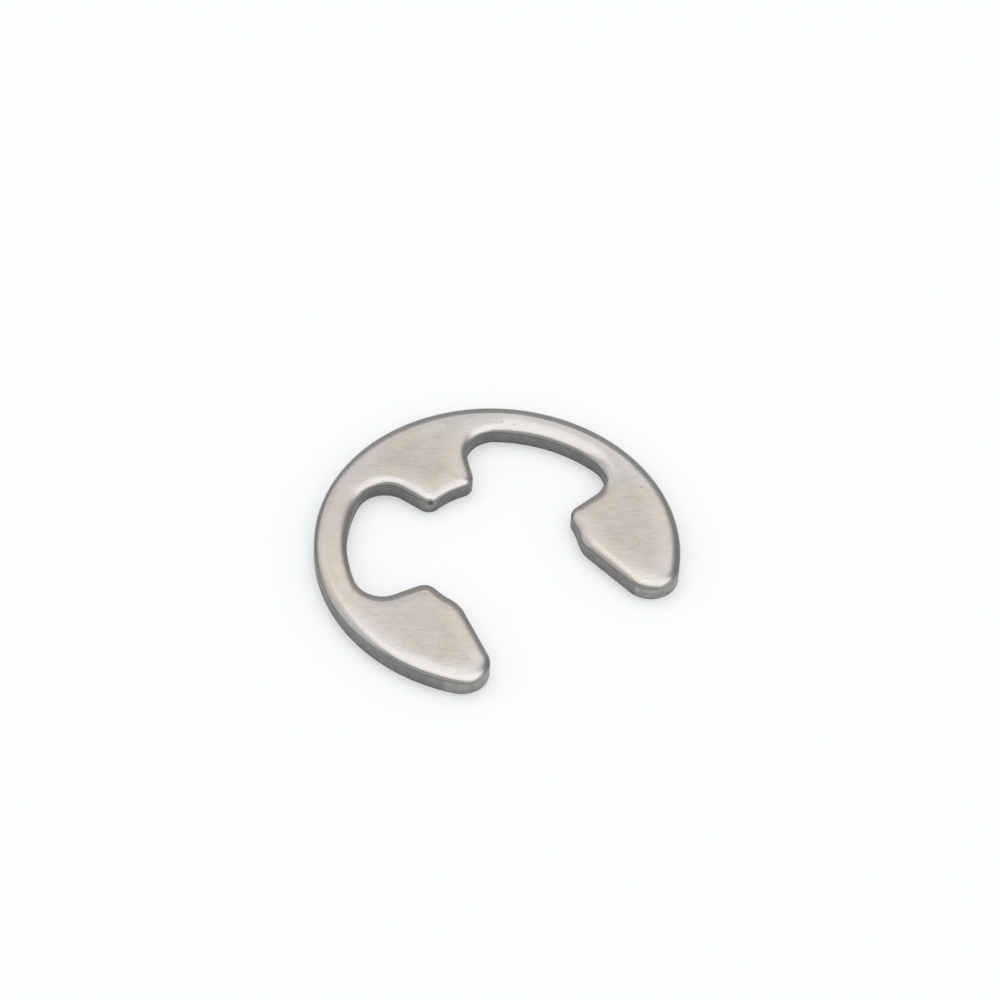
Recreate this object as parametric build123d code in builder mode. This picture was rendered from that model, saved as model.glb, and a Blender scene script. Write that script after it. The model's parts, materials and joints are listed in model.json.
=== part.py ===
from build123d import *
import os
from math import atan2, cos, degrees, radians, sin, sqrt

# E-style retaining ring (e clip) for a 3/8 inch shaft, stamped in one piece from stainless strip.
#
# A band of even width runs round the back. A centre prong and two jaws reach in from it and
# seat in the shaft's groove, and the ring is pushed on sideways through the mouth between the
# jaws. The reliefs on both sides of the prong let the jaws spring apart.
#
# Frame: the origin is the centre of the seat, on the underside. +Z is the shaft's axis, and +Y
# runs from the mouth to the prong. Lengths are in millimetres, angles in degrees.

# Driving dimensions
rim_diameter = 16.76  # outside of the band
seat_diameter = 7.66  # circle that the prong and both jaws bear on, before the ring is fitted
thickness = 0.89  # strip, 0.035 inch
band_width = 1.49  # band behind the reliefs

prong_width = 2.45  # across the prong's virtual corners on the seat
prong_flare = 21.0  # each prong flank leans out from +Y by this much

shoulder_drop = 0.07  # virtual corner of the jaw, below the seat's centre
shoulder_rise = 7.3  # slope of the jaw's shoulder, up towards the band

throat_bite = 0.96  # the throat between the jaws' virtual knees is this much narrower than the seat
mouth_flare = 10.4  # each mouth flank leans out from -Y by this much

# Corner radii of the outline
prong_corner_radius = 0.60
prong_root_radius = 1.35
relief_end_radius = 1.30
jaw_corner_radius = 0.65
knee_radius = 1.70
tip_radius = 1.30

# Edges of the strip
edge_roll = 0.28  # rounding that the punch draws down round the top face
edge_break = 0.05  # tumbled edge round the underside

rim_radius = rim_diameter / 2
seat_radius = seat_diameter / 2
relief_radius = rim_radius - band_width
throat_width = seat_diameter - throat_bite  # the shaft snaps through here


def point_on_seat_at_width(width, side):
    """Point of the seat circle at half this width; side is +1 by the prong and -1 by the mouth."""
    x = width / 2
    return Vector(x, side * sqrt(seat_radius**2 - x**2))


def cast_to_circle(start, heading, radius):
    """Point where a line from start, inside the circle, meets the circle about the origin."""
    direction = Vector(cos(radians(heading)), sin(radians(heading)))
    along = start.dot(direction)
    reach = sqrt(radius**2 - start.dot(start) + along**2) - along
    return start + direction * reach


def arc_about_origin(radius, start, end):
    """Arc of a circle about the origin, the short way from one of its points to another."""
    start_angle = degrees(atan2(start.Y, start.X))
    end_angle = degrees(atan2(end.Y, end.X))
    return CenterArc((0, 0), radius, start_angle, end_angle - start_angle)


# Virtual corners of the right-hand half, from the prong round to the tip of the jaw
seat_top = Vector(0, seat_radius)
prong_corner = point_on_seat_at_width(prong_width, 1)
prong_root = cast_to_circle(prong_corner, 90 - prong_flare, relief_radius)
jaw_corner = Vector(sqrt(seat_radius**2 - shoulder_drop**2), -shoulder_drop)
relief_end = cast_to_circle(jaw_corner, shoulder_rise, relief_radius)
knee = point_on_seat_at_width(throat_width, -1)
tip = cast_to_circle(knee, mouth_flare - 90, rim_radius)
rim_top = Vector(0, rim_radius)

corner_radii = [
    (prong_corner, prong_corner_radius),
    (prong_root, prong_root_radius),
    (relief_end, relief_end_radius),
    (jaw_corner, jaw_corner_radius),
    (knee, knee_radius),
    (tip, tip_radius),
]

with BuildPart() as e_clip:
    with BuildSketch() as outline:
        with BuildLine() as right_half:
            arc_about_origin(seat_radius, seat_top, prong_corner)
            Line(prong_corner, prong_root)
            arc_about_origin(relief_radius, prong_root, relief_end)
            Line(relief_end, jaw_corner)
            arc_about_origin(seat_radius, jaw_corner, knee)
            Line(knee, tip)
            arc_about_origin(rim_radius, tip, rim_top)
            Line(rim_top, seat_top)
        make_face()
        mirror(about=Plane.YZ)
        for corner, radius in corner_radii:
            for side in (1, -1):
                virtual_corner = (side * corner.X, corner.Y)
                fillet(outline.vertices().sort_by_distance(virtual_corner)[0], radius)
    extrude(amount=thickness)

    # The blank was punched through from the top: the top edges are drawn down into a broad
    # round, and the underside keeps a crisp edge with only its burr tumbled off.
    fillet(e_clip.faces().sort_by(Axis.Z)[-1].edges(), edge_roll)
    fillet(e_clip.faces().sort_by(Axis.Z)[0].edges(), edge_break)

e_clip.part.label = "e_clip"

os.makedirs("parts", exist_ok=True)
export_step(e_clip.part, "parts/e_clip.step")
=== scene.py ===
import json
from math import atan2, ceil, cos, pi, radians, sin, sqrt, tan

import bpy
import numpy as np
from mathutils import Matrix, Quaternion, Vector
from mathutils.geometry import delaunay_2d_cdt


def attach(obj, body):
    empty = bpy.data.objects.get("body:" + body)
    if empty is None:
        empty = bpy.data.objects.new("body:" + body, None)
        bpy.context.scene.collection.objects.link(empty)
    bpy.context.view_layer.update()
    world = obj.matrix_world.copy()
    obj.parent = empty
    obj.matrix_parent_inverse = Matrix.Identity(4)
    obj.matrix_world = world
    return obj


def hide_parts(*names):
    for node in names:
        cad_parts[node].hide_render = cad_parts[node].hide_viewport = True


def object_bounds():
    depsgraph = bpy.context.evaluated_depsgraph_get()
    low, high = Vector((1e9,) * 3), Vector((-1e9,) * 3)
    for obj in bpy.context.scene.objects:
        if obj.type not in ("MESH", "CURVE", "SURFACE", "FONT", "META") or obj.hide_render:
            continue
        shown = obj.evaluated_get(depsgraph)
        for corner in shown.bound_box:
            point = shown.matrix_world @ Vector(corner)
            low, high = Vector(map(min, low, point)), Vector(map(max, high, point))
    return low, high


# An E-style retaining ring stamped from stainless strip, lying on a white sweep.
#
# The ring's mesh is drawn from the same arcs, lines and corner radii as the CAD solid. It adds
# what the solid leaves out: the broad, shallow round that the punch draws down along the top
# edge, the smooth and broken zones of the sheared wall, and a nick and a dimple in it.
#
# The ring is drawn in millimetres and degrees, and the scene is in metres.

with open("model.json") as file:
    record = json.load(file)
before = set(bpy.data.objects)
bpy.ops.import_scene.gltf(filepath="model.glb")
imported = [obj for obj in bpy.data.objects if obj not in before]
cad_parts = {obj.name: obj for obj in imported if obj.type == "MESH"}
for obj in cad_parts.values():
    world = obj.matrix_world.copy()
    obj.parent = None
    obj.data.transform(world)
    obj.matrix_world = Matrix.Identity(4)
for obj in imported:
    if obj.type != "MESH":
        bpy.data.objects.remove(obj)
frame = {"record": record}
cad_low, cad_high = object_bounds()
record = frame["record"]

MM = 0.001
MICROMETRE = 1e-6

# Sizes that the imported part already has
rim_radius = (cad_high.x - cad_low.x) / 2 / MM
thickness = cad_high.z / MM
seat_radius = next(m["dims"]["r_mm"] for m in record["mounts"] if m["name"] == "groove_seat")

# The rest of the outline, under the same names as in the solid's source
band_width = 1.49
prong_width = 2.45
prong_flare = 21.0
shoulder_drop = 0.07
shoulder_rise = 7.3
throat_width = 6.70
mouth_flare = 10.4
relief_radius = rim_radius - band_width

prong_corner_radius = 0.60
prong_root_radius = 1.35
relief_end_radius = 1.30
jaw_corner_radius = 0.65
knee_radius = 1.70
tip_radius = 1.30

# Section of the stamped edge
roll_depth = 0.12  # the punch draws the top face down by this much at the wall,
roll_gain = 0.08  # and by this share of the roll's width
rim_changes = (-24, 8, 45)  # degrees above the X axis where the rim's roll changes width
rim_rolls = ((1.02, 0.84), (1.04, 0.69), (0.90, 0.66), (0.75, 0.70))  # tip to back: right, left
roll_blend = 16  # outline steps over which one roll width passes into the next
edge_break = 0.05  # tumbled edge round the underside
fracture_height = 0.34  # below this the wall broke, above it the punch smeared it smooth
fracture_blend = 0.05  # height over which the broken zone's hollows die out
fracture_depth = 0.014  # how deep the hollows go
fracture_hollows = ((0.30, 0.45, 11), (0.12, 0.55, 12))  # width, weight, seed
hollow_flatness = 1.6  # width of a hollow over its height

# Marks in the wall
punch_mark = (4.20, -5.27)  # upright nick where two punches met, at the right mouth flank's end
punch_mark_depth = 0.02
punch_mark_width = 0.05
prong_pit = (-1.13, 3.80, 0.64)  # dimple at the prong's left corner, with a lighter patch round it and painted shade in it
prong_pit_depth = 0.05
prong_pit_radius = 0.12

# Mesh
outline_step = 0.055
wall_step = 0.035  # height of a row of faces in the broken zone
break_rows = 3
smooth_rows = 8
roll_rows = 21
roll_crowding = 2.2  # the roll's rows crowd towards the wall by this power
ring_inset = 0.45  # rows of faces follow the outline this far in
face_step = 0.065  # side of the triangles inside them
face_clearance = 0.6  # share of that side left free inside the last row
merge_distance = 1e-6
batch = 4000  # places measured at once
noise_rows = 64

# Surface
grain_turn = 32.1  # the strip was rolled along a line this far clockwise from +X
face_pits = ((4.36, 6.06, 0.50), (4.73, 5.61, 0.75), (7.53, -0.69, 0.28))  # x, y, and the darkness of the painted shade in each pit
pit_reach = 0.10
# Where the grain wore off grey: x, y, strength, and the share of its light that it keeps
grey_patches = (
    (-3.3, 7.2, 0.44, 1),
    (-2.5, 7.5, 0.44, 1),
    (-1.6, 7.7, 0.44, 1),
    (7.1, 0.1, 0.64, 0.88),
)
grey_patch_reach = 0.75

# Marks of the rolled face to a millimetre: along the grain, across it and in depth
dash_scale = (1.6, 12.0, 2.0)
tick_scale = (4.5, 20.0, 4.0)
hair_scale = (2.4, 26.0, 5.0)
blotch_scale = (1.8, 3.0, 1.8)
grit_scale = (12.0, 12.0, 12.0)
patch_scale = (0.75, 0.75, 0.75)
# How much lighter or darker they make it, and the mean of all but the patches
dash_shade = -0.10
tick_shade = -0.16
hair_shade = 0.10
blotch_shade = 0.205
grit_shade = 0.08
mean_shade = 0.190
patch_shade = 0.026

rubbed_zone = (0.48, 0.10)  # distances from the wall where the rubbing and its painted highlight tint begin and are full
worn_widening = 0.32  # the zone reaches this much further in where the wear and tint mask is full
hold_back_share = 0.9  # how much of the widening is taken back on the right jaw by the mouth and on the left band

# Marks of the wall to a millimetre, and how much lighter they make it
torn_scale = (9.0, 9.0, 9.0)
score_scale = (7.0, 7.0, 0.9)
mottle_scale = (2.6, 2.6, 4.0)
torn_shade = 0.50
score_shade = 0.34
tip_brightness = 1.38
pit_rim_brightness = 1.6
# painted shade in the prong's dimple: the share of the wall's brightness left there
pit_painted_shade = 0.15

# Roughness and, in micrometres, relief
face_least_roughness = 0.09
rubbed_roughness = 0.21
wall_least_roughness = 0.38
hair_relief = 0.4  # beside dashes of 1
wall_relief = 6.0

# Colours of the metal, with the tints of its painted highlights
rolled_tan = (0.579, 0.522, 0.465)
rolled_grey = (0.568, 0.525, 0.477)
clean_band = (0.568, 0.547, 0.514)
clean_tip = (0.612, 0.574, 0.528)
worn_grey = (0.575, 0.568, 0.545)
# rubbed metal and a painted highlight tint: the rims' highlights stay neutral white
rubbed_rim_and_highlight = (0.590, 0.574, 0.552)
left_glint = (0.614, 0.598, 0.580)
sheared_wall = (0.213, 0.215, 0.202)


# ---------------------------------------------------------------- outline

def vec(x, y):
    return np.array([x, y], float)


def left_of(direction):
    return vec(-direction[1], direction[0])


def line_through(point, heading):
    return ("line", point, vec(cos(radians(heading)), sin(radians(heading))))


def circle_about(centre, radius, turn):
    """turn is +1 where the outline follows the circle anticlockwise, and -1 where clockwise."""
    return ("circle", centre, radius, turn)


def offset(curve, distance):
    """The curve moved to the left of its direction, which is into the metal."""
    if curve[0] == "line":
        return ("line", curve[1] + distance * left_of(curve[2]), curve[2])
    return ("circle", curve[1], curve[2] - distance * curve[3], curve[3])


def crossing(a, b, near):
    """Where a line and a circle cross, at the crossing nearest to a point."""
    line, circle = (a, b) if a[0] == "line" else (b, a)
    ahead = line[2]
    middle = line[1] + ((circle[1] - line[1]) @ ahead) * ahead
    half = sqrt(circle[2]**2 - np.sum((middle - circle[1])**2))
    return min((middle + half * ahead, middle - half * ahead), key=lambda p: np.hypot(*(p - near)))


def touch(curve, point):
    """The point of the curve nearest to a point."""
    if curve[0] == "line":
        return curve[1] + ((point - curve[1]) @ curve[2]) * curve[2]
    away = point - curve[1]
    return curve[1] + curve[2] * away / np.hypot(*away)


def walk(curve, start, end, step):
    """Points and outward normals along a curve, from start up to but not with end."""
    if curve[0] == "line":
        count = max(1, ceil(np.hypot(*(end - start)) / step))
        share = np.arange(count)[:, None] / count
        return start + share * (end - start), np.tile(-left_of(curve[2]), (count, 1))
    centre, radius, turn = curve[1:]
    first, last = (atan2(*(p - centre)[::-1]) for p in (start, end))
    sweep = ((last - first) * turn) % (2 * pi)
    count = max(1, ceil(sweep * radius / step))
    angle = first + turn * sweep * np.arange(count) / count
    radial = np.column_stack([np.cos(angle), np.sin(angle)])
    return centre + radius * radial, turn * radial


def seat_point(width, side):
    """Point of the seat at half this width; side is +1 by the prong and -1 by the mouth."""
    return vec(width / 2, side * sqrt(seat_radius**2 - (width / 2)**2))


def cast(start, heading, radius):
    """Where a line from start, inside the circle about the origin, meets it."""
    ahead = vec(cos(radians(heading)), sin(radians(heading)))
    along = start @ ahead
    return start + ahead * (sqrt(radius**2 - start @ start + along**2) - along)


def right_half():
    """The outline's curves from the back of the seat, past the prong and round the jaw to the rim,
    and the virtual corners where one curve meets the next. Each curve and corner has the width
    over which the top face rolls down to the wall, on the right and, mirrored, on the left. The
    punch drew the left jaw down most."""
    origin = vec(0, 0)
    prong_corner = seat_point(prong_width, 1)
    prong_root = cast(prong_corner, 90 - prong_flare, relief_radius)
    jaw_corner = vec(sqrt(seat_radius**2 - shoulder_drop**2), -shoulder_drop)
    relief_end = cast(jaw_corner, shoulder_rise, relief_radius)
    knee = seat_point(throat_width, -1)
    tip = cast(knee, mouth_flare - 90, rim_radius)
    seat = circle_about(origin, seat_radius, -1)
    # Curve, roll widths
    curves = [
        (seat, (0.92, 0.95)),
        (line_through(prong_corner, 90 - prong_flare), (1.15, 0.76)),
        (circle_about(origin, relief_radius, -1), (1.35, 1.22)),
        (line_through(relief_end, shoulder_rise + 180), (0.85, 1.05)),
        (seat, (0.78, 1.36)),
        (line_through(knee, mouth_flare - 90), (0.72, 1.22)),
        (circle_about(origin, rim_radius, 1), rim_rolls[0]),
    ]
    # Virtual corner, radius, +1 where the metal is convex and -1 where hollow, roll widths
    corners = [
        (prong_corner, prong_corner_radius, 1, (0.90, 1.05)),
        (prong_root, prong_root_radius, -1, (0.72, 0.60)),
        (relief_end, relief_end_radius, -1, (1.00, 0.96)),
        (jaw_corner, jaw_corner_radius, 1, (0.95, 1.34)),
        (knee, knee_radius, 1, (0.75, 1.36)),
        (tip, tip_radius, 1, (0.97, 1.00)),
    ]
    return curves, corners


def draw_outline():
    """The whole outline, anticlockwise: points, outward normals and the roll's width at each."""
    curves, corners = right_half()
    runs = []

    def add_run(curve, start, end, rolls):
        points, normals = walk(curve, start, end, outline_step)
        runs.append(np.column_stack([points, normals, np.tile(rolls, (len(points), 1))]))

    start = vec(0, seat_radius)
    for (before, rolls), (after, _), corner in zip(curves, curves[1:], corners):
        virtual, radius, turn, corner_rolls = corner
        inward = turn * radius
        centre = crossing(offset(before, inward), offset(after, inward), virtual)
        first, last = touch(before, centre), touch(after, centre)
        add_run(before, start, first, rolls)
        add_run(circle_about(centre, radius, turn), first, last, corner_rolls)
        start = last
    rim = curves[-1][0]
    top = vec(0, rim_radius)
    changes = [rim_radius * vec(cos(radians(a)), sin(radians(a))) for a in rim_changes]
    for end, rolls in zip(changes + [top], rim_rolls):
        add_run(rim, start, end, rolls)
        start = end
    # The left half is the right half mirrored and walked back; their two ends are on the Y axis.
    right = np.vstack(runs + [[*top, 0, 1, *rolls]])
    left = right[-2:0:-1] * (-1, 1, -1, 1, 1, 1)
    outline = np.vstack([right, left])[:, :4]
    roll = np.concatenate([right[:, 4], left[:, 5]])
    return outline[:, :2], outline[:, 2:], blurred(roll, roll_blend)


def blurred(values, reach):
    """A closed run of values, each averaged with its neighbours within reach steps."""
    window = np.hanning(2 * reach + 3)[1:-1]
    wrapped = np.concatenate([values[-reach:], values, values[:reach]])
    return np.convolve(wrapped, window / window.sum(), "valid")


# ---------------------------------------------------------------- ring mesh

def drop(inset, roll):
    """How far the rolled top face lies below the strip's face, at a distance in from the wall."""
    run = np.clip(1 - inset / roll, 0, 1)
    return (roll_depth + roll_gain * roll) * (1 - np.sqrt(1 - run**2))


def deepest_drop(spots, points, roll):
    """The drop at each spot of the face from whichever wall draws it down most."""
    deepest = np.zeros(len(spots))
    for start in range(0, len(spots), batch):
        gaps = spots[start:start + batch, None] - points
        deepest[start:start + batch] = drop(np.hypot(gaps[..., 0], gaps[..., 1]), roll).max(1)
    return deepest


def smooth_noise(u, v, seed, period):
    """Value noise from -1 to 1 on the integer grid; u wraps round at period."""
    table = np.random.default_rng(seed).uniform(-1, 1, (period, noise_rows))
    iu, iv = np.floor(u).astype(int), np.floor(v).astype(int)
    fu, fv = u - iu, v - iv
    fu, fv = fu * fu * (3 - 2 * fu), fv * fv * (3 - 2 * fv)

    def at(du, dv):
        return table[(iu + du) % period, (iv + dv) % noise_rows]

    low = at(0, 0) * (1 - fu) + at(1, 0) * fu
    high = at(0, 1) * (1 - fu) + at(1, 1) * fu
    return low * (1 - fv) + high * fv


def hollows(z, along, length):
    """How far in from the outline the broken zone's hollows reach at a height, at each point."""
    inset = np.zeros(len(along))
    depth = np.clip((fracture_height - z) / fracture_blend, 0, 1)
    for size, weight, seed in fracture_hollows:
        period = round(length / size)
        height = np.full(len(along), z / size * hollow_flatness)
        inset += weight * (smooth_noise(along / length * period, height, seed, period) + 1) / 2
    return fracture_depth * depth * inset


def draw_rings(points, normals, roll):
    """Rings of mesh points from the underside's edge up the wall and in over the rolled edge: x,
    y, z and the distance in from the wall."""
    count = len(points)
    steps = np.hypot(*(np.roll(points, -1, 0) - points).T)
    length = steps.sum()
    along = np.concatenate([[0], np.cumsum(steps)[:-1]])
    from_mark = np.hypot(*(points - punch_mark).T)
    nick = punch_mark_depth * np.exp(-(from_mark / punch_mark_width)**2)
    from_pit = np.hypot(*(points - prong_pit[:2]).T)
    smooth_bottom = fracture_height + fracture_blend
    smooth_top = thickness - drop(0, roll)
    rings = []

    def add_ring(inset, z, from_wall=0.0):
        inset = np.broadcast_to(inset, count)[:, None]
        z, from_wall = np.broadcast_to(z, count), np.broadcast_to(from_wall, count)
        rings.append(np.column_stack([points - normals * inset, z, from_wall]))

    def dents(z):
        away = np.hypot(from_pit, z - prong_pit[2]) / prong_pit_radius
        return nick + prong_pit_depth * np.exp(-away**2)

    for turn in np.linspace(0, pi / 2, break_rows + 1):
        add_ring(edge_break * (1 - sin(turn)), edge_break * (1 - cos(turn)))
    for z in np.arange(edge_break + wall_step, smooth_bottom, wall_step):
        add_ring(hollows(z, along, length) + nick, z)
    for share in np.linspace(1 / smooth_rows, 1, smooth_rows):
        z = smooth_bottom + (smooth_top - smooth_bottom) * share
        add_ring(dents(z), z)
    for inset in ring_inset * np.linspace(0, 1, roll_rows + 1)[1:]**roll_crowding:
        z = thickness - drop(inset, roll)
        add_ring(inset + dents(z) * (1 - inset / ring_inset)**2, z, inset)
    return rings


def triangular_grid():
    """Places a face step apart, over the whole ring."""
    row_step = face_step * sqrt(3) / 2
    return np.array([
        (x + (face_step / 2 if row % 2 else 0), y)
        for row, y in enumerate(np.arange(-rim_radius, rim_radius, row_step))
        for x in np.arange(-rim_radius, rim_radius, face_step)
    ])


def fill(boundary, inside):
    """Triangles over places inside a closed boundary: the corners, each one's number among the
    boundary and the places, and the triangles."""
    count = len(boundary)
    loop = [(i, (i + 1) % count) for i in range(count)]
    places = [Vector(p) for p in np.vstack([boundary, inside])]
    only_inside = 1
    made = delaunay_2d_cdt(places, loop, [], only_inside, merge_distance)
    corners, _, triangles, sources, _, _ = made
    return np.array([tuple(c) for c in corners]), [s[0] for s in sources], triangles


def build_ring():
    """The ring: rows of faces up the wall and in over the rolled edge, small triangles inside
    them on top, and a flat underside."""
    points, normals, roll = draw_outline()
    count = len(points)
    rings = draw_rings(points, normals, roll)
    faces = []
    for k in range(len(rings) - 1):
        lower, upper = k * count, (k + 1) * count
        for i in range(count):
            j = (i + 1) % count
            faces.append((lower + i, lower + j, upper + j, upper + i))
    vertices = np.vstack(rings)

    # Top face inside the last ring, with its heights from the same roll
    last_ring = len(vertices) - count
    grid = triangular_grid()
    inside = distance_in(grid, points, normals) > ring_inset + face_step * face_clearance
    plane, sources, triangles = fill(rings[-1][:, :2], grid[inside])
    distance = distance_in(plane, points, normals)
    on_ring = np.array([s < count for s in sources])
    heights = relax(thickness - deepest_drop(plane, points, roll), on_ring, triangles)
    number = last_ring + np.array(sources)
    number[~on_ring] = len(vertices) + np.arange(np.sum(~on_ring))
    number = number.tolist()
    faces += [tuple(number[k] for k in upwards(t, plane)) for t in triangles]
    vertices = np.vstack([vertices, np.column_stack([plane, heights, distance])[~on_ring]])

    # Flat underside
    plane, sources, triangles = fill(rings[0][:, :2], np.empty((0, 2)))
    faces += [tuple(sources[k] for k in reversed(upwards(t, plane))) for t in triangles]

    mesh = bpy.data.meshes.new("retaining_ring")
    mesh.from_pydata((vertices[:, :3] * MM).tolist(), [], faces)
    mesh.attributes.new("from_wall", "FLOAT", "POINT").data.foreach_set("value", vertices[:, 3])
    mesh.validate()
    mesh.shade_smooth()
    ring = bpy.data.objects.new("retaining_ring", mesh)
    bpy.context.scene.collection.objects.link(ring)
    return ring


def distance_in(places, points, normals):
    """How far in from the outline each place is; less than 0 is outside."""
    distance = np.empty(len(places))
    for start in range(0, len(places), batch):
        part = places[start:start + batch]
        apart = ((part[:, None, :] - points[None, :, :])**2).sum(2)
        near = apart.argmin(1)
        side = np.sign(((points[near] - part) * normals[near]).sum(1))
        distance[start:start + batch] = side * np.sqrt(apart[np.arange(len(part)), near])
    return distance


def upwards(triangle, plane):
    """The triangle's corners in the order that makes it face up."""
    a, b, c = (plane[k] for k in triangle)
    turn = (b[0] - a[0]) * (c[1] - a[1]) - (b[1] - a[1]) * (c[0] - a[0])
    return tuple(triangle) if turn > 0 else tuple(reversed(triangle))


def relax(heights, fixed, triangles, rounds=30):
    """Evens out the creases where rolls from two sides meet, and keeps the fixed heights."""
    triangles = np.array([tuple(t) for t in triangles])
    pairs = np.vstack([triangles[:, [0, 1]], triangles[:, [1, 2]], triangles[:, [2, 0]]])
    pairs = np.vstack([pairs, pairs[:, ::-1]])
    share = np.bincount(pairs[:, 0], minlength=len(heights))
    for _ in range(rounds):
        mean = np.bincount(pairs[:, 0], heights[pairs[:, 1]], len(heights)) / share
        heights = np.where(fixed, heights, (heights + mean) / 2)
    return heights


# ---------------------------------------------------------------- materials

class Graph:
    """A new material's node tree, with a short call for each kind of node."""

    def __init__(self, name):
        self.material = bpy.data.materials.new(name)
        self.material.use_nodes = True
        self.nodes = self.material.node_tree.nodes
        self.links = self.material.node_tree.links
        self.shader = self.nodes["Principled BSDF"]

    def add(self, kind, inputs=None, **settings):
        node = self.nodes.new("ShaderNode" + kind)
        for name, value in settings.items():
            setattr(node, name, value)
        for name, value in (inputs or {}).items():
            self.feed(node.inputs[name], value)
        return node

    def feed(self, socket, value):
        if isinstance(value, bpy.types.NodeSocket):
            self.links.new(value, socket)
        else:
            socket.default_value = value

    def math(self, operation, value, *others):
        """One number from two or more, taken from left to right, or from one alone."""
        for other in others or (0.0,):
            value = self.add("Math", {0: value, 1: other}, operation=operation).outputs[0]
        return value

    def place(self, vector, scale, turn=0.0):
        inputs = {"Vector": vector, "Scale": scale, "Rotation": (0, 0, radians(turn))}
        return self.add("Mapping", inputs).outputs[0]

    def noise(self, vector, detail=2.0, roughness=0.5):
        inputs = {"Vector": vector, "Scale": 1.0, "Detail": detail, "Roughness": roughness}
        return self.add("TexNoise", inputs).outputs["Fac"]

    def between(self, value, low, high, start=0.0, end=1.0):
        """value from low to high, mapped smoothly to run from start to end."""
        inputs = {"Value": value, "From Min": low, "From Max": high, "To Min": start, "To Max": end}
        return self.add("MapRange", inputs, interpolation_type="SMOOTHSTEP").outputs[0]

    def area(self, *ramps):
        """1 in a part of the ring, softly bounded. Each ramp is a value with where the part begins
        and where it is full."""
        return self.math("MULTIPLY", *(self.between(*ramp) for ramp in ramps))

    def mix(self, share, a, b):
        """A colour that passes from a to b as share goes from 0 to 1."""
        node = self.add("Mix", {"Factor": share}, data_type="RGBA")
        for name, colour in (("A", a), ("B", b)):
            socket = next(i for i in node.inputs if i.name == name and i.type == "RGBA")
            self.feed(socket, (*colour, 1) if isinstance(colour, tuple) else colour)
        return next(o for o in node.outputs if o.type == "RGBA")

    def blend(self, share, a, b):
        """A number that passes from a to b as share goes from 0 to 1."""
        return self.add("Mix", {"Factor": share, "A": a, "B": b}).outputs[0]

    def brightened(self, colour, *by):
        for factor in by:
            inputs = {0: colour, "Scale": factor}
            colour = self.add("VectorMath", inputs, operation="SCALE").outputs[0]
        return colour

    def near(self, vector, place, reach):
        """1 at a place on the ring, falling to 0 at the reach from it."""
        away = self.add("VectorMath", {0: vector, 1: place}, operation="DISTANCE")
        return self.between(away.outputs["Value"], reach, 0.0)


def stainless_material():
    """Satin stainless strip, tumbled after stamping: a warm rolled face with fine grain, rubbed
    clean towards its rims and neutral there, partly from a painted highlight tint, and a darker
    sheared wall."""
    g = Graph("stainless")
    coords = g.add("TexCoord").outputs
    spot = g.place(coords["Object"], (1 / MM,) * 3)
    grain = g.place(coords["Object"], (1 / MM,) * 3, grain_turn)
    normal_z = g.add("SeparateXYZ", {0: coords["Normal"]}).outputs["Z"]
    # The wall begins where the surface tips 26 degrees from level, and is full at 59
    wall = g.between(g.math("ABSOLUTE", normal_z), 0.90, 0.52)

    on_face = face_nodes(g, spot, grain, normal_z)
    on_wall = wall_nodes(g, spot)
    g.feed(g.shader.inputs["Base Color"], g.mix(wall, on_face[0], on_wall[0]))
    g.feed(g.shader.inputs["Roughness"], g.blend(wall, on_face[1], on_wall[1]))
    relief = g.blend(wall, on_face[2], on_wall[2])  # in micrometres
    bump = g.add("Bump", {"Height": relief, "Distance": MICROMETRE, "Strength": 1.0})
    g.feed(g.shader.inputs["Normal"], bump.outputs[0])
    g.shader.inputs["Metallic"].default_value = 1.0
    return g.material


def wear_and_tint_nodes(g, x, y):
    """How worn the face is, and how far in the neutral painted highlight tint reaches, by place:
    the clean band right of the prong, the tips, the left rim, and all of these with the prong's
    left side, less the right jaw by the mouth and the left band."""
    clean = g.math("ADD", g.math("MULTIPLY", x, 0.75), g.math("MULTIPLY", y, 0.62))
    clean = g.between(clean, 4.8, 6.2)
    tips = g.between(y, -3.8, -5.6)
    left_rim = g.area((x, -4.4, -6.4), (y, 1.0, -0.8))
    prong_left = g.math("MULTIPLY", g.area((x, 0.4, -0.8), (y, 3.0, 4.0)), 0.6)
    wear_and_tint = g.math("MAXIMUM", clean, tips, left_rim, prong_left)
    right_jaw_by_mouth = g.area((x, 6.4, 5.0), (x, 1.6, 2.4), (y, -0.7, -1.5))
    left_band = g.area((x, -3.6, -5.0), (y, 0.2, 1.8))
    held_back = g.math("MAXIMUM", right_jaw_by_mouth, left_band)
    wear_and_tint = g.math("SUBTRACT", wear_and_tint, g.math("MULTIPLY", held_back, hold_back_share))
    return clean, tips, left_rim, wear_and_tint


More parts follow.
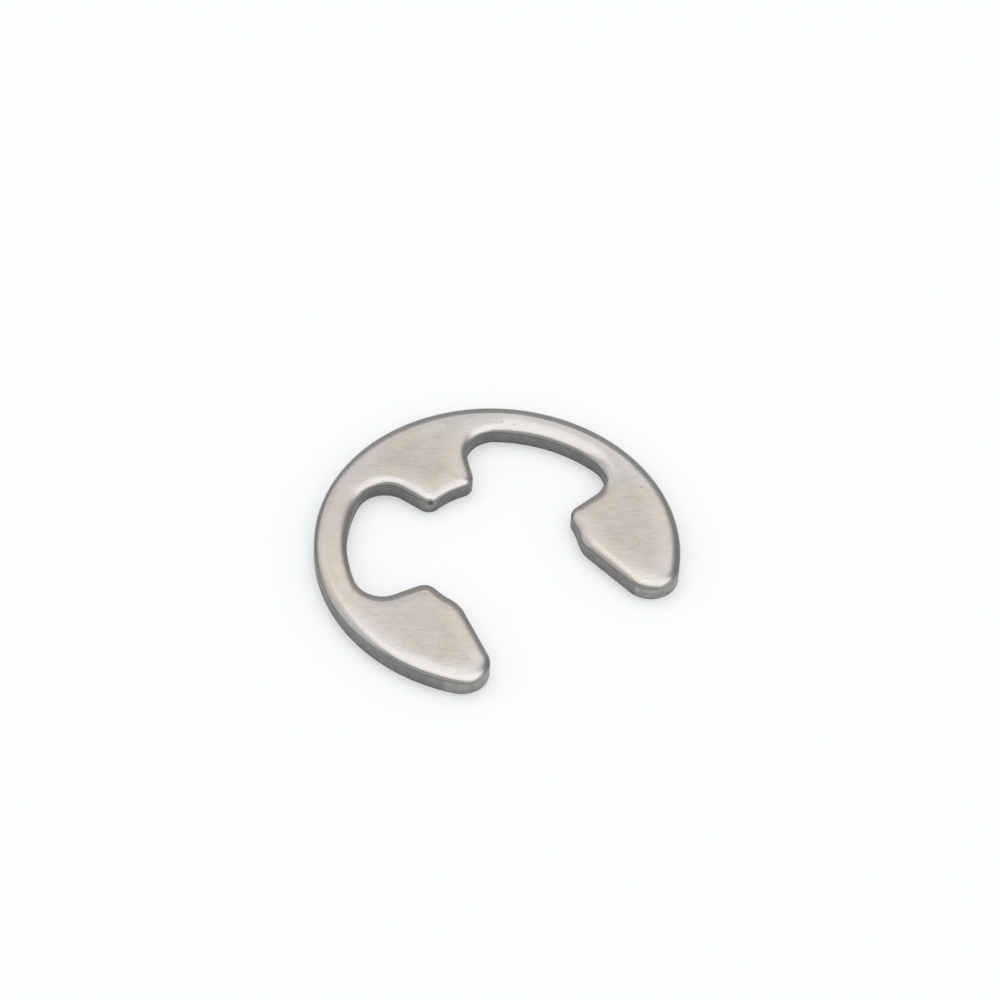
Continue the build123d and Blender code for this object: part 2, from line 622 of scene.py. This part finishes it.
def face_nodes(g, spot, grain, normal_z):
    """Colour, roughness and relief of the rolled faces."""
    x, y, _ = g.add("SeparateXYZ", {0: spot}).outputs
    # Rolling grain: dashes, short ticks, hairs, and blotches, grit and patches where it wore
    dashes = g.noise(g.place(grain, dash_scale), detail=3.0)
    ticks = g.noise(g.place(grain, tick_scale))
    hairs = g.noise(g.place(grain, hair_scale))
    blotches = g.noise(g.place(grain, blotch_scale), detail=4.0, roughness=0.6)
    grit = g.noise(g.place(spot, grit_scale))
    patches = g.noise(g.place(spot, patch_scale), detail=3.0)

    # The rolled top is rubbed clean near its walls, further in where it is more worn, and there it
    # also carries a neutral painted highlight tint. The underside counts as far from the wall all
    # over.
    clean, tips, left_rim, wear_and_tint = wear_and_tint_nodes(g, x, y)
    from_wall = g.add("Attribute", attribute_name="from_wall").outputs["Fac"]
    from_wall = g.math("ADD", from_wall, g.between(normal_z, -0.5, -0.8, 0.0, 2.0))
    ragged = g.math("ADD", from_wall, g.between(blotches, 0.3, 0.7, -0.08, 0.08))
    rubbed_and_highlit = g.math("SUBTRACT", ragged, g.math("MULTIPLY", wear_and_tint, worn_widening))
    rubbed_and_highlit = g.between(rubbed_and_highlit, *rubbed_zone)

    # Colour of the metal, and how light each part of it is
    colour = g.mix(g.between(patches, 0.40, 0.60), rolled_tan, rolled_grey)
    colour = g.mix(clean, colour, clean_band)
    colour = g.mix(tips, colour, clean_tip)
    # Painted highlight: the lower left band is lightened where the rim's highlight spreads wide
    lower_left_highlight = g.area((x, -6.2, -7.4), (y, -3.4, -2.0))
    left_jaw = g.area((x, -0.8, -2.2), (y, -1.0, -2.2))
    left_tip = g.area((x, -0.8, -2.2), (y, -4.6, -5.6))
    prong_side = g.area((x, 1.2, -1.2), (y, 3.6, 5.2))
    colour = g.brightened(
        colour,
        g.between(from_wall, 0.75, 1.45, 1.055, 0.965),
        # painted highlight on the lower left band
        g.blend(lower_left_highlight, 1.0, 1.07),
        g.blend(left_jaw, 1.0, 1.022),
        g.blend(left_tip, 1.0, 0.965),
        g.blend(prong_side, 0.985, 0.955),
    )
    for x_patch, y_patch, strength, kept in grey_patches:
        patch = g.near(spot, (x_patch, y_patch, thickness), grey_patch_reach)
        grey = tuple(part * kept for part in worn_grey)
        colour = g.mix(g.math("MULTIPLY", patch, strength), colour, grey)
    # rubbed metal near the walls, partly a neutral painted highlight tint
    colour = g.mix(rubbed_and_highlit, colour, rubbed_rim_and_highlight)
    glint = g.math("MULTIPLY", left_rim, g.between(from_wall, 1.20, 0.50, 0.0, 0.7))
    colour = g.mix(glint, colour, left_glint)

    # How much lighter or darker the marks make it: with their mean taken off, they are faint by
    # the wall and full in the middle
    marks = g.math(
        "ADD",
        g.between(dashes, 0.54, 0.74, 0.0, dash_shade),
        g.math("MULTIPLY", hairs, hair_shade),
        g.between(ticks, 0.56, 0.76, 0.0, tick_shade),
        g.math("MULTIPLY", blotches, blotch_shade),
        g.math("MULTIPLY", grit, grit_shade),
        -mean_shade,
    )
    shade = g.math("MULTIPLY", marks, g.between(from_wall, 0.40, 1.20, 0.30, 1.0))
    shade = g.math("ADD", shade, g.between(patches, 0.30, 0.70, -patch_shade, patch_shade))
    # Painted shade in small pits of the face
    for x_pit, y_pit, darkness in face_pits:
        pit = g.near(spot, (x_pit, y_pit, thickness), pit_reach)
        shade = g.math("SUBTRACT", shade, g.math("MULTIPLY", pit, darkness))
    colour = g.brightened(colour, g.math("ADD", shade, 1.0))

    rough = g.math("ADD", g.math("MULTIPLY", blotches, 0.16), g.math("MULTIPLY", dashes, 0.10))
    rough = g.blend(rubbed_and_highlit, g.math("ADD", rough, face_least_roughness), rubbed_roughness)
    relief = g.math("ADD", dashes, g.math("MULTIPLY", hairs, hair_relief))
    return colour, rough, relief


def wall_nodes(g, spot):
    """Colour, roughness and relief of the sheared wall: torn below, smeared smooth with faint
    upright scores above, with painted shade towards its foot, painted light where it faces the open
    paper, and lighter round the tips."""
    x, y, z = g.add("SeparateXYZ", {0: spot}).outputs
    torn = g.noise(g.place(spot, torn_scale), detail=4.0, roughness=0.6)
    scores = g.noise(g.place(spot, score_scale), detail=3.0)
    mottle = g.noise(g.place(spot, mottle_scale), detail=3.0)
    smeared = g.between(z, fracture_height - 0.08, fracture_height + 0.10)

    # Painted light on the walls that face the open paper: the rim, and the mouth with its jaws
    radius = g.add("VectorMath", {0: spot}, operation="LENGTH").outputs["Value"]
    outer_wall_painted_light = g.math("MAXIMUM", g.between(radius, 7.2, 7.9), g.between(y, -0.6, -2.4))
    # The lighter tips begin softly, but sharply at the nick
    from_mark = g.math("ABSOLUTE", g.math("SUBTRACT", x, punch_mark[0]))
    by_mark = g.math("LESS_THAN", from_mark, 1.2)
    tip_start = g.blend(by_mark, -5.10, punch_mark[1])
    tip_full = g.blend(by_mark, -5.40, punch_mark[1] - 0.03)

    torn_part = g.math("MULTIPLY", torn, torn_shade)
    smeared_part = g.math("MULTIPLY", scores, score_shade)
    shade = g.blend(smeared, torn_part, smeared_part)
    shade = g.math(
        "MULTIPLY",
        # painted shade: the wall darkens towards its foot, by the paper
        g.math("ADD", shade, g.between(z, 0.05, 0.70, 0.66, 0.86)),
        # painted light: lighter where the wall faces the open paper
        g.blend(outer_wall_painted_light, 1.03, 1.20),
        g.between(mottle, 0.32, 0.68, 0.90, 1.10),
        g.between(y, tip_start, tip_full, 1.0, tip_brightness),
        g.blend(g.near(spot, prong_pit, 0.60), 1.0, pit_rim_brightness),
        # painted shade in the dimple
        g.blend(g.near(spot, prong_pit, 0.24), 1.0, pit_painted_shade),
    )
    colour = g.brightened(sheared_wall, shade)
    rough = g.math("ADD", g.math("MULTIPLY", torn, 0.2), wall_least_roughness)
    relief = g.math("MULTIPLY", g.blend(smeared, torn, scores), wall_relief)
    return colour, rough, relief


def floor_material():
    """White paper. To the camera and in the metal it glows a little, and it keeps its shadow."""
    g = Graph("white_sweep")
    path = g.add("LightPath").outputs
    rays = ("Is Camera Ray", "Is Glossy Ray", "Is Transmission Ray")
    seen = g.math("MAXIMUM", *(path[ray] for ray in rays))
    g.feed(g.shader.inputs["Emission Strength"], g.math("MULTIPLY", seen, floor_glow))
    g.shader.inputs["Emission Color"].default_value = (0.95, 0.98, 1.0, 1)
    g.shader.inputs["Base Color"].default_value = (0.86, 0.87, 0.88, 1)
    g.shader.inputs["Roughness"].default_value = 0.9
    g.shader.inputs["Specular IOR Level"].default_value = 0.0
    g.material.cycles.emission_sampling = "NONE"
    return g.material


# ---------------------------------------------------------------- studio

camera_heading = radians(36.92)  # it looks this far from +Y towards +X,
camera_elevation = radians(49.50)  # and down by this much
camera_roll = radians(3.63)
camera_distance = 335.2 * MM
look_at = Vector((2.034, 2.731, 0)) * MM
focal_length = 261.7  # for a sensor of 36, both in millimetres
sensor_width = 36

floor_half_width = 1.0
floor_drop = 0.01 * MM  # keeps the paper off the underside
floor_glow = 0.36
room_glow = 0.395  # on the paper
room_glow_in_metal = 0.27

softbox_distance = 0.7
# Azimuth, height, the angles that it spans across and up, lean to its right, radiance
softboxes = {
    "back_panel": (-4, 46.5, 40, 21, -3, 0.75),
    "back_right": (12, 44, 12, 12, 0, 0.22),
    "overhead": (18, 71.5, 40, 27, 0, 1.25),
    "left_panel": (-58, 53, 36, 26, 0, 0.50),
    "right_panel": (95, 57, 36, 32, 0, 0.30),
    "top_panel": (180, 76, 60, 26, 0, 0.22),
    "back_low": (0, 16, 120, 30, 0, 0.12),
    "surround_left": (-100, 26, 64, 36, 0, 0.30),
    "surround_front": (180, 26, 64, 36, 0, 0.30),
    "surround_right": (100, 26, 64, 36, 0, 0.30),
}


def direction(azimuth, height):
    """Unit vector at an azimuth clockwise from the camera's heading, and a height, in degrees."""
    turn, rise = camera_heading + radians(azimuth), radians(height)
    return Vector((sin(turn) * cos(rise), cos(turn) * cos(rise), sin(rise)))


def add_camera():
    data = bpy.data.cameras.new("camera")
    data.lens = focal_length
    data.sensor_width = sensor_width
    data.clip_start = 0.01
    data.clip_end = 10
    camera = bpy.data.objects.new("camera", data)
    flat = cos(camera_elevation)
    back = Vector((-sin(camera_heading) * flat, -cos(camera_heading) * flat, sin(camera_elevation)))
    right = Vector((cos(camera_heading), -sin(camera_heading), 0))
    up = back.cross(right)
    x = cos(camera_roll) * right + sin(camera_roll) * up
    y = back.cross(x)
    turn = Matrix((x, y, back)).transposed().to_4x4()
    camera.matrix_world = Matrix.Translation(look_at + back * camera_distance) @ turn
    bpy.context.scene.collection.objects.link(camera)
    bpy.context.scene.camera = camera


def add_softbox(name, azimuth, height, width, depth, lean, radiance):
    """A lamp that faces the ring. All but its radiance is in degrees."""
    data = bpy.data.lights.new(name, "AREA")
    data.shape = "RECTANGLE"
    data.size = 2 * softbox_distance * tan(radians(width / 2))
    data.size_y = 2 * softbox_distance * tan(radians(depth / 2))
    data.energy = radiance * pi * data.size * data.size_y
    lamp = bpy.data.objects.new(name, data)
    away = direction(azimuth, height)
    lamp.location = away * softbox_distance
    lamp.rotation_mode = "QUATERNION"
    lamp.rotation_quaternion = Quaternion(away, radians(lean)) @ away.to_track_quat("Z", "Y")
    lamp.visible_camera = False
    bpy.context.scene.collection.objects.link(lamp)


def light_room():
    """An even white room, dimmer as the metal mirrors it than as it lights the paper."""
    world = bpy.data.worlds.new("studio")
    world.use_nodes = True
    world.cycles.sampling_method = "NONE"
    nodes, links = world.node_tree.nodes, world.node_tree.links
    path = nodes.new("ShaderNodeLightPath")
    level = nodes.new("ShaderNodeMix")
    level.inputs["A"].default_value = room_glow
    level.inputs["B"].default_value = room_glow_in_metal
    links.new(path.outputs["Is Glossy Ray"], level.inputs["Factor"])
    links.new(level.outputs[0], nodes["Background"].inputs["Strength"])
    nodes["Background"].inputs["Color"].default_value = (1, 1, 1, 1)
    bpy.context.scene.world = world


def add_floor():
    half = floor_half_width
    mesh = bpy.data.meshes.new("floor")
    corners = [(-half, -half, 0), (half, -half, 0), (half, half, 0), (-half, half, 0)]
    mesh.from_pydata(corners, [], [(0, 1, 2, 3)])
    mesh.materials.append(floor_material())
    floor = bpy.data.objects.new("floor", mesh)
    floor.location.z = -floor_drop
    bpy.context.scene.collection.objects.link(floor)


ring = build_ring()
ring.data.materials.append(stainless_material())
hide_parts("e_clip")
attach(ring, "root")

add_floor()
for name, setting in softboxes.items():
    add_softbox(name, *setting)
light_room()
add_camera()
bpy.context.scene.view_settings.view_transform = "Standard"
